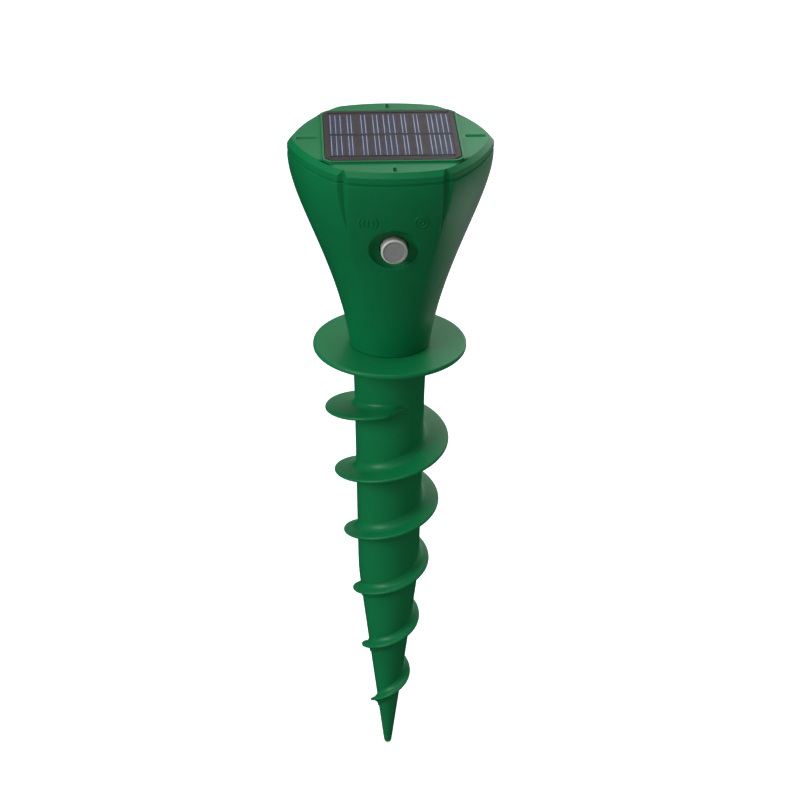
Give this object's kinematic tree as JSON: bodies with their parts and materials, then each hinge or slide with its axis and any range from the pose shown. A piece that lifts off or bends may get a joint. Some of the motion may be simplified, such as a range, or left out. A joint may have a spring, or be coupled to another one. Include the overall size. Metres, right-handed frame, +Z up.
{
  "type": "ultrasonic pest repeller",
  "caption": "Garden stake sounder: flared six-sided head with a solar panel and push button on a round flange, over a tapered ground auger.",
  "frame": {"origin": "tip of the ground stake, at the bottom centre of the part's box", "axes": "+Z up along the stake from its tip to the head; the push button faces -Y; two corners of the head lie on X"},
  "size_m": [0.07, 0.0658, 0.25],
  "materials": {
    "green_plastic": "satin moulded plastic",
    "grey_plastic": "satin moulded plastic",
    "seal_rubber": "matte",
    "steel": "bright zinc plate",
    "ferrite": "sintered",
    "black_plastic": "matte",
    "board_laminate": "solder mask",
    "white_plastic": "matte",
    "silicon": "polished",
    "clear_resin": "gloss",
    "foam": "matte foam",
    "cone_paper": "matte pressed paper",
    "copper": "enamelled wire",
    "cell_sleeve": "shrink sleeve",
    "red_insulation": "satin",
    "black_insulation": "satin"
  },
  "bodies": {
    "head_and_stake": {"ground_stake": "green_plastic", "neck_o_ring": "seal_rubber", "stake_screw_1": "steel", "stake_screw_2": "steel", "stake_screw_3": "steel", "housing_shell": "green_plastic", "top_cap": "green_plastic", "cap_screw_1": "steel", "cap_screw_2": "steel", "cap_screw_3": "steel", "cap_screw_4": "steel", "cap_seal": "seal_rubber", "panel_adhesive": "foam", "panel_board": "black_plastic", "solar_cells_front": "silicon", "solar_cells_rear": "silicon", "panel_glazing": "clear_resin", "latching_switch": "black_plastic", "control_board": "board_laminate", "board_screw_1": "steel", "board_screw_2": "steel", "controller_chip": "black_plastic", "solar_lead_socket": "white_plastic", "speaker_lead_socket": "white_plastic", "step_up_coil": "ferrite", "storage_capacitor": "black_plastic", "battery_holder": "black_plastic", "holder_screw_1": "steel", "holder_screw_2": "steel", "battery_contact_negative": "steel", "battery_contact_positive": "steel", "rechargeable_cell": "cell_sleeve", "battery_spring": "steel", "speaker_gasket": "foam", "speaker_frame": "black_plastic", "speaker_yoke": "steel", "speaker_magnet": "ferrite", "speaker_pole_plate": "steel", "solar_lead_red": "red_insulation", "solar_lead_black": "black_insulation", "speaker_lead_red": "red_insulation", "speaker_lead_black": "black_insulation"},
    "button": {"push_button": "grey_plastic", "button_seal": "seal_rubber", "switch_plunger": "white_plastic"},
    "diaphragm": {"speaker_diaphragm": "cone_paper", "voice_coil": "copper"}
  },
  "joints": [
    {"name": "button_press", "type": "slide", "parent": "head_and_stake", "child": "button", "axis": [0, 1, 0], "range_m": [0, 0.0012], "stiffness_N_per_m": 600},
    {"name": "diaphragm_stroke", "type": "slide", "parent": "head_and_stake", "child": "diaphragm", "axis": [0, 0, 1], "range_m": [-0.0002, 0.0002], "stiffness_N_per_m": 500}
  ]
}
